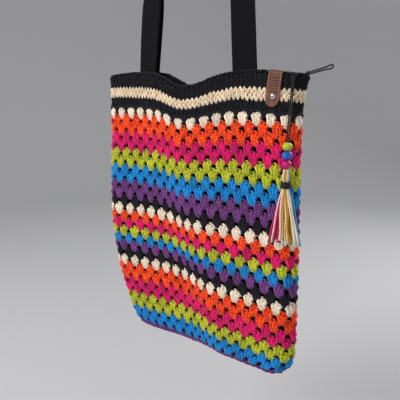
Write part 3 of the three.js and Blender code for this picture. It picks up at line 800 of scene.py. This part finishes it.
# %% Leather finish
TAB_X, TAB_WIDTH, TAB, TAB_GAP, TAB_LEG, TAB_INNER_LEG = 0.126, 0.017, 0.002, 0.0006, 0.038, 0.036
EDGE_HIGHLIGHT_FROM, EDGE_HIGHLIGHT_TO, LINE_HALF_WIDTH = 0.0066, 0.0086, 0.0062
LINE_PITCH, LINE_START, LINE_DEEP, LINE_EDGE = 0.0015, 0.0006, 0.0004, 0.0008
LINES_LOW, LINES_HIGH, LINE_TONE = 0.0150, 0.0345, 0.35
GRAIN_SCALE, GRAIN_RELIEF, LINE_RELIEF, LEATHER_RELIEF, LEATHER_DEPTH = 1500.0, 0.6, 1.6, 0.5, 0.0004


def spread(tree, value, low, high, to_low=0.0, to_high=1.0):
    """A value taken from one range to another."""
    given = {"Value": value, 1: low, 2: high, 3: to_low, 4: to_high}
    return put(tree, "ShaderNodeMapRange", given).outputs[0]


def pressed_lines(tree, across, along):
    """0 in the lines pressed across the tab and 1 elsewhere."""
    ruled = sums(tree, "PINGPONG", sums(tree, "ADD", along, LINE_START), LINE_PITCH)
    ruled = spread(tree, ruled, LINE_DEEP, LINE_EDGE)
    inside = sums(tree, "LESS_THAN", across, LINE_HALF_WIDTH)
    inside = times(tree, inside, sums(tree, "GREATER_THAN", along, LINES_LOW))
    inside = times(tree, inside, sums(tree, "LESS_THAN", along, LINES_HIGH))
    inside = times(tree, inside, sums(tree, "SUBTRACT", 1.0, ruled))
    return sums(tree, "SUBTRACT", 1.0, inside)


def leather_finish():
    material, tree, principled = shader("brown leather", 0.55, 0.0, 0.4)
    parts = map_parts(tree, "UVMap")
    edge = sums(tree, "ABSOLUTE", sums(tree, "SUBTRACT", parts[0], TAB_WIDTH / 2))
    pressed = pressed_lines(tree, edge, parts[1])
    blotches = two_tones(tree, noise(tree, 160.0, 4.0), srgb(82, 44, 30), srgb(126, 72, 48), 0.3, 0.72)
    # Painted highlight: a paler band along both long edges, where the rounded edges catch the light.
    mix = put(tree, "ShaderNodeMix", {0: spread(tree, edge, EDGE_HIGHLIGHT_FROM, EDGE_HIGHLIGHT_TO)}, data_type="RGBA")
    mix.inputs[7].default_value = srgb(150, 92, 62)
    tree.links.new(blotches, mix.inputs[6])
    tone = spread(tree, pressed, 0.0, 1.0, LINE_TONE)
    tinted = put(tree, "ShaderNodeVectorMath", {0: mix.outputs[2], 1: tone}, operation="MULTIPLY")
    place = put(tree, "ShaderNodeTexCoord")
    grain = put(tree, "ShaderNodeTexVoronoi", {"Vector": place.outputs["Object"], "Scale": GRAIN_SCALE})
    height = times(tree, pressed, LINE_RELIEF, times(tree, grain.outputs[0], GRAIN_RELIEF))
    dress(tree, principled, tinted.outputs[0], height, LEATHER_RELIEF, LEATHER_DEPTH)
    return material


LEATHER = leather_finish()
print("finish", LEATHER.name)

# %% Fold the tab
TAB_FOLD, TAB_LOWERED, TAB_ROUNDING, SLOPE_STEP, TIP_LEFT = 0.002, 0.0006, 0.0005, 0.001, 0.0002
tab_slope = float(sag(TAB_X + SLOPE_STEP, 0.0) - sag(TAB_X - SLOPE_STEP, 0.0)) / (2 * SLOPE_STEP)
tab_turn = Matrix.Rotation(math.atan(tab_slope), 3, "Y")
tab_top = Vector((BAG_OFFSET + TAB_X, 0, RIM_Z - float(sag(TAB_X, 0.0)) - TAB_LOWERED))
TAB_FRONT = -(RIM_DEPTH / 2 + TAB_GAP + TAB / 2)
TAB_BACK = -(RIM_DEPTH / 2 - LINING_INSET - LINING_WALL - TAB_GAP - TAB / 2)
corner = np.pi / 2 * TAB_FOLD
tab_flat = TAB_BACK - TAB_FRONT - 2 * TAB_FOLD
tab_run = TAB_LEG + 2 * corner + tab_flat + TAB_INNER_LEG
tab, flat = flat_grid("leather_tab_strip", 8, 90)
run = (flat[:, 1] + 1) / 2 * tab_run
past = run - TAB_LEG
over = (np.clip(past, 0, corner) + np.clip(past - corner - tab_flat, 0, corner)) / TAB_FOLD
y = TAB_FRONT + TAB_FOLD * (1 - np.cos(over)) + np.clip(past - corner, 0, tab_flat)
down = np.maximum(-past, 0) - TAB_FOLD * np.sin(over) + np.maximum(past - 2 * corner - tab_flat, 0)
half = TAB_WIDTH / 2
tip = np.clip(half - run, 0, half - TIP_LEFT)
wide = flat[:, 0] * np.sqrt(half ** 2 - tip ** 2)
points = np.stack([wide, y, -down], -1) @ np.array(tab_turn).T + np.array(tab_top)
lay(tab, points, (TAB_WIDTH, tab_run))
thicken(tab, TAB, 0, TAB_ROUNDING, 2)
finish_piece(tab, LEATHER, "bag", "leather", "leather_tab")
print("leather strip", round(float(tab_run), 4))

# %% Turned pieces
SPIN_MERGE, SHARP_ANGLE = 0.00001, math.radians(40)


def turned(name, profile, steps, centre, tilt=None):
    """Spins a closed half outline of (radius, height) once round the upright axis."""
    bpy.ops.mesh.primitive_circle_add(vertices=len(profile), radius=1.0, fill_type="NOTHING")
    piece = bpy.context.object
    piece.name = piece.data.name = name
    for vertex, (r, z) in zip(piece.data.vertices, profile):
        vertex.co = (r, 0, z)
    bpy.ops.object.mode_set(mode="EDIT")
    bpy.ops.mesh.select_all(action="SELECT")
    bpy.ops.mesh.spin(steps=steps, angle=2 * math.pi, center=(0, 0, 0), axis=(0, 0, 1))
    bpy.ops.object.mode_set(mode="OBJECT")
    close_up(SPIN_MERGE)
    piece.data.transform(Matrix.Translation(centre) @ (tilt or Matrix.Identity(3)).to_4x4())
    bpy.ops.object.shade_smooth_by_angle(angle=SHARP_ANGLE)
    return piece


def metal_finish():
    material, tree, principled = shader("polished nickel", 0.16, 0.0, 0.5, 1.0)
    haze = noise(tree, 700.0, 3.0)
    tint = two_tones(tree, haze, srgb(196, 196, 198), srgb(222, 222, 224))
    tree.links.new(spread(tree, haze, 0.3, 0.8, 0.1, 0.28), principled.inputs["Roughness"])
    tree.links.new(tint, principled.inputs["Base Color"])
    return material


NICKEL = metal_finish()
print("finish", NICKEL.name)

# %% Rivet
ROUND_STEPS = 32
facing_front = Matrix.Rotation(math.pi / 2, 3, "X")
cap_low, cap_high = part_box("rivet_cap")
cap_at = Vector(((cap_low.x + cap_high.x) / 2, cap_high.y, (cap_low.z + cap_high.z) / 2))
cap_r, cap_tall = (cap_high.x - cap_low.x) / 2, cap_high.y - cap_low.y
dome = [(0.0, 0.0), (cap_r * 0.96, 0.0), (cap_r, cap_tall * 0.16), (cap_r * 0.97, cap_tall * 0.34)]
for a in np.linspace(0.1, math.pi / 2, 7):
    dome.append((cap_r * 0.93 * math.cos(a), cap_tall * (0.36 + 0.64 * math.sin(a))))
rivet = turned("rivet_dome", dome, ROUND_STEPS, cap_at, facing_front)
finish_piece(rivet, NICKEL, "bag", "rivet_metal", "rivet_cap")
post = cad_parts["rivet_post"]
post.data.materials.clear()
post.data.materials.append(NICKEL)
print("rivet radius", round(cap_r, 4))

# %% [markdown]
# ## Charm
# A doubled waxed cord comes over the rim and carries three glossy beads and a tassel. The cords are curves
# with a round bevel, because a cord keeps its length and thickness along its whole path. The beads are
# turned with a real bore. The tassel's strands fan out under a tight binding.

# %% Cord finish and the hanging strands
def cord_finish():
    material, tree, principled = shader("waxed cord", 0.6, 0.0, 0.35)
    place = put(tree, "ShaderNodeTexCoord")
    given = {"Vector": place.outputs["Object"], "Scale": 260.0, "Distortion": 1.5}
    strands = put(tree, "ShaderNodeTexWave", given, bands_direction="DIAGONAL").outputs[1]
    # Painted shade: darker in the grooves between the twisted strands, lighter on their crowns.
    tint = two_tones(tree, strands, srgb(16, 15, 18), srgb(34, 33, 37))
    dress(tree, principled, tint, strands, 0.5, 0.0004)
    return material


WAXED = cord_finish()
CORD, STRAND_PITCH, SHOWN_CORD, BEAD_Y, CORD_STEPS = 0.0018, 0.0023, 0.075, -0.022, 30
joint_at = Vector((0.14582, -0.01541, -0.30412))
bead_top = joint_at.z - SHOWN_CORD
tassel_low, tassel_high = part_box("tassel")
tassel_x = (tassel_low.x + tassel_high.x) / 2


def cord_curve(name, points, body, node):
    """A round cord as one smooth open curve."""
    curve = bpy.data.curves.new(name, "CURVE")
    curve.dimensions = "3D"
    path = smooth_path(points, CORD_STEPS)
    spline = curve.splines.new("POLY")
    spline.points.add(len(path) - 1)
    for point, co in zip(spline.points, path):
        point.co = (*co, 1)
    curve.bevel_depth, curve.bevel_resolution = CORD / 2, 3
    curve.use_fill_caps = True
    spline.use_smooth = True
    piece = bpy.data.objects.new(name, curve)
    scene.collection.objects.link(piece)
    return finish_piece(piece, WAXED, body, "cord_black", node)


def path_length(points):
    return float(np.linalg.norm(np.diff(smooth_path(points, CORD_STEPS), axis=0), axis=1).sum())


for label, side in (("a", -1), ("b", 1)):
    x = joint_at.x + side * STRAND_PITCH / 2
    route = [
        (x, joint_at.y, joint_at.z - 0.00115), (x, joint_at.y - 0.0016, joint_at.z - 0.020),
        (x, BEAD_Y + 0.0022, joint_at.z - 0.046), (x, BEAD_Y + 0.0002, bead_top + 0.006),
        (x, BEAD_Y, bead_top - 0.002), (x, BEAD_Y, bead_top - 0.018), (x, BEAD_Y, tassel_high.z - 0.0077),
    ]
    strand = cord_curve("charm_strand_" + label, route, "charm", "charm_cord_" + label)

# %% Beads
def bead_finish(name, colour, deep):
    material, tree, principled = shader(name, 0.3, 0.0, 0.35)
    principled.inputs["Coat Weight"].default_value = 0.15
    principled.inputs["Coat Roughness"].default_value = 0.15
    swirl = noise(tree, 260.0, 2.0)
    tint = two_tones(tree, swirl, deep, colour, 0.25, 0.6)
    dress(tree, principled, tint, swirl, 0.12, 0.0004)
    return material


BEAD_BORE, BEAD_LIP, BEAD_ANGLE, BORE_SHARE = 0.0024, 0.0003, 1.18, 0.9
BEAD_TONES = (
    ("green", srgb(184, 206, 36), srgb(140, 160, 20)), ("blue", srgb(20, 104, 204), srgb(12, 72, 164)),
    ("magenta", srgb(204, 18, 120), srgb(160, 8, 88)),
)
for colour, pale, deep in BEAD_TONES:
    node = "bead_" + colour
    low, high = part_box(node)
    r, tall = (high.x - low.x) / 2, (high.z - low.z) / 2
    outline = []
    for a in np.linspace(-BEAD_ANGLE, BEAD_ANGLE, 17):
        up = tall * math.sin(a) / math.sin(BEAD_ANGLE)
        outline.append((max(r * math.cos(a), BEAD_BORE + BEAD_LIP), up))
    outline += [(BEAD_BORE, tall * BORE_SHARE), (BEAD_BORE, -tall * BORE_SHARE)]
    bead = turned("bead_round_" + colour, outline, ROUND_STEPS, (low + high) / 2)
    finish_piece(bead, bead_finish(colour + " bead", pale, deep), "charm", node, node)

# %% Tassel
TASSEL_COLOURS = {
    "cream": srgb(240, 228, 212), "sky": srgb(104, 176, 218), "rose": srgb(206, 54, 100),
    "ochre": srgb(212, 160, 62), "brown": srgb(112, 70, 60), "olive": srgb(166, 166, 58),
}
STRAND_ORDER = "cream rose cream sky cream ochre cream rose cream sky cream olive brown".split()
TASSEL_STRANDS, STRAND_STEPS, GOLDEN_TURN, UNEVEN_ENDS, WOBBLE = 60, 14, 2.399963, 0.008, 0.0011
TASSEL_RIGHT, TASSEL_FORWARD, BINDING_GAP, ANGLE_PLAY, DEPTH_WOBBLE = 0.006, 0.0055, 0.0003, 0.3, 0.4
bind_low, bind_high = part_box("tassel_binding")
skirt_top, neck_low = bind_low.z - BINDING_GAP, bind_high.z + BINDING_GAP
strand_places, strand_radii = [0, 0.16, 0.3, 0.5, 1], [0.0008, 0.0010, 0.0007, 0.0010, 0.0012]
thick = np.interp(np.linspace(0, 1, STRAND_STEPS + 1), strand_places, strand_radii)
strand_sets = {name: [] for name in TASSEL_COLOURS}
for k in range(TASSEL_STRANDS):
    name = STRAND_ORDER[k % len(STRAND_ORDER)]
    angle = GOLDEN_TURN * k + chance.uniform(-ANGLE_PLAY, ANGLE_PLAY)
    share = math.sqrt((k + 0.5) / TASSEL_STRANDS)
    end = tassel_low.z + chance.uniform(0.0, UNEVEN_ENDS)
    path = []
    for z, rx, ry in (
        (tassel_high.z - 0.0006, 0.0027, 0.0027), (neck_low + 0.005, 0.0039, 0.0039),
        (neck_low, 0.0038, 0.0038), (skirt_top, 0.0042, 0.0042), (skirt_top - 0.012, 0.0082, 0.0056),
        (skirt_top - 0.030, 0.0128, 0.0064), (skirt_top - 0.048, 0.0172, 0.0066), (end, 0.0200, 0.0066),
    ):
        fall = min(max((neck_low - z) / (neck_low - tassel_low.z), 0), 1)
        wobble = chance.normal(0, 1, 2) * WOBBLE * fall
        x = tassel_x + TASSEL_RIGHT * fall + rx * share * math.cos(angle) + wobble[0]
        y = BEAD_Y - TASSEL_FORWARD * fall + ry * share * math.sin(angle) + wobble[1] * DEPTH_WOBBLE
        path.append((x, y, z))
    strand_sets[name].append(yarn(smooth_path(path, STRAND_STEPS), thick, start=chance.uniform(0, 1)))
for name, colour in TASSEL_COLOURS.items():
    piece = make_mesh("tassel_" + name, *gather(strand_sets[name]))
    finish_piece(piece, yarn_finish(name + " tassel yarn", colour, 500.0, 0.3), "charm", "tassel_yarn")
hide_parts("tassel")
print("tassel strands", sum(len(v) for v in strand_sets.values()))

# %% Binding
BINDING_TURNS, TURN_STEPS, BINDING_YARN, BINDING_SUNK = 7, 18, 0.00078, 0.0007
BINDING_EDGE, BINDING_FALL = 0.0008, 0.07
bind_r = (bind_high.x - bind_low.x) / 2 - BINDING_SUNK
bind_y = BEAD_Y - TASSEL_FORWARD * BINDING_FALL
t = np.linspace(0, 1, BINDING_TURNS * TURN_STEPS + 1)
angle = 2 * np.pi * BINDING_TURNS * t
bind_z = bind_high.z - BINDING_EDGE - (bind_high.z - bind_low.z - 2 * BINDING_EDGE) * t
wind = np.stack([tassel_x + bind_r * np.cos(angle), bind_y + bind_r * np.sin(angle), bind_z], -1)
binding = make_mesh("tassel_wrap", *yarn(wind, BINDING_YARN))
finish_piece(binding, WAXED, "charm", "cord_black", "tassel_binding")
print("binding turns", BINDING_TURNS)

# %% [markdown]
# ## Cord end on the rim
# The two strands lie along the top of the rim to the corner. There they are tied, and the folded end of
# the cord stands out as a narrow loop. The knot is one length of yarn that winds through itself.

# %% Rim strands, knot and loop
WALL_MIDDLE, CORD_GAP = 0.0125, 0.0003
END_CENTRE, LIFT = RIM_WIDTH / 2 - RIM_DEPTH / 2, CORD / 2 + CORD_GAP
CHARM_TURN, charm_x, charm_y = 0.35, joint_at.x - BAG_OFFSET, joint_at.y


def on_rim(x, y, up):
    return (BAG_OFFSET + x + float(end_shift(x, 0.0)), y, RIM_Z - float(sag(x, 0.0)) + up)


def round_rim(angle, reach):
    return on_rim(END_CENTRE + reach * math.sin(angle), -reach * math.cos(angle), LIFT)


for label, side in (("a", -1), ("b", 1)):
    x, ring = charm_x + side * STRAND_PITCH / 2, WALL_MIDDLE + side * STRAND_PITCH / 2
    begin, reach = math.atan2(x - END_CENTRE, -charm_y), math.hypot(x - END_CENTRE, charm_y)
    route = [
        on_rim(x, charm_y, -0.0015), on_rim(x, charm_y, 0.0006), round_rim(begin + 0.03, reach - 0.0016),
        round_rim(begin + 0.15, ring + 0.0004),
    ]
    route += [round_rim(CHARM_TURN + angle, ring) for angle in (0.36, 0.64, 0.93)]
    cord_curve("rim_strand_" + label, route, "bag", "rim_cord_" + label)
knot_low, knot_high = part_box("cord_knot")
KNOT_LOWER, KNOT_YARN = 0.0022, 0.0011
knot_at = (knot_low + knot_high) / 2 + Vector((float(end_shift(RIM_WIDTH / 2, 0.0)), 0, -KNOT_LOWER))
t = np.linspace(0, 2 * np.pi, 41)
tied = np.stack([
    knot_at.x + 0.0013 * np.sin(2 * t), knot_at.y + 0.0014 * np.cos(3 * t + 0.4),
    knot_at.z + 0.0011 * np.sin(3 * t) * np.cos(t * 0.5),
], -1)
knot = make_mesh("corner_knot", *yarn(tied, KNOT_YARN))
finish_piece(knot, WAXED, "bag", "cord_black", "cord_knot")
LOOP_REACH, LOOP_RISE, LOOP_WIDTH, LOOP_START, LOOP_NARROW = 0.025, 0.0065, 0.0058, 0.0028, 0.38
loop_from = knot_at.x + LOOP_START


def loop_point(run, side):
    spread = side * LOOP_WIDTH / 2 * (LOOP_NARROW + (1 - LOOP_NARROW) * (run / LOOP_REACH) ** 6)
    return (loop_from + run, 0.0, knot_at.z + LOOP_RISE * run / LOOP_REACH + spread)


half_loop = [(0, 1), (0.009, 1), (0.018, 1), (LOOP_REACH - 0.0025, 1), (LOOP_REACH, 0.45)]
loop_route = [loop_point(run, -side) for run, side in half_loop]
loop_route += [loop_point(run, side) for run, side in reversed(half_loop)]
loop = cord_curve("corner_loop", loop_route, "bag", "cord_loop")
print("loop length", round(path_length(loop_route), 4))

# %% [markdown]
# ## Stage and light
# A pale floor far below sweeps up into a pale surround, so there is no line behind the bag. One large
# soft lamp from the left and front, with weaker ones on the other sides, shows the relief of the
# stitches without hard shadows.

# %% Stage
FLOOR_Z, FLOOR_FLAT, SWEEP_RADIUS, FLOOR_WALL, SURROUND_TOP = -0.92, 2.0, 1.0, 0.04, 2.4
sweep_z, wall_r = FLOOR_Z + SWEEP_RADIUS, FLOOR_FLAT + SWEEP_RADIUS
bends, FLOOR_STEPS = np.linspace(0.1, math.pi / 2, 12), 64


def bend(r, angles):
    return [(FLOOR_FLAT + r * math.sin(a), sweep_z - r * math.cos(a)) for a in angles]


sweep = [(0.0, FLOOR_Z), (FLOOR_FLAT, FLOOR_Z)] + bend(SWEEP_RADIUS, bends)
sweep += [(wall_r, SURROUND_TOP), (wall_r + FLOOR_WALL, SURROUND_TOP)]
sweep += bend(SWEEP_RADIUS + FLOOR_WALL, bends[::-1]) + [(0.0, FLOOR_Z - FLOOR_WALL)]
floor = turned("floor", sweep, FLOOR_STEPS, (0, 0, 0))
pale, _, principled = shader("pale floor", 0.95, 0.0, 0.1)
principled.inputs["Base Color"].default_value = (0.56, 0.56, 0.57, 1)
floor.data.materials.append(pale)
print("floor at", FLOOR_Z)

# %% Lamps and surround
BAG_MIDDLE = Vector((0, 0, -0.5))


def soft_lamp(name, at, size, power):
    """A round soft lamp that looks at the middle of the bag."""
    bpy.ops.object.light_add(type="AREA", location=at)
    lamp = bpy.context.object
    lamp.name = name
    lamp.data.shape, lamp.data.size, lamp.data.energy = "DISK", size, power
    lamp.rotation_euler = (BAG_MIDDLE - Vector(at)).to_track_quat("-Z", "Y").to_euler()


soft_lamp("key lamp", (-0.9, -1.5, 0.5), 1.0, 34.0)
soft_lamp("side lamp", (1.4, -0.6, -0.1), 1.6, 4.0)
soft_lamp("rear lamp", (0.6, 1.5, 0.4), 1.0, 18.0)
world = bpy.data.worlds.new("surround")
scene.world = world
world.use_nodes = True
surround = world.node_tree.nodes["Background"]
surround.inputs["Color"].default_value = (0.75, 0.76, 0.78, 1)
surround.inputs["Strength"].default_value = 0.55
scene.view_settings.view_transform = "Standard"
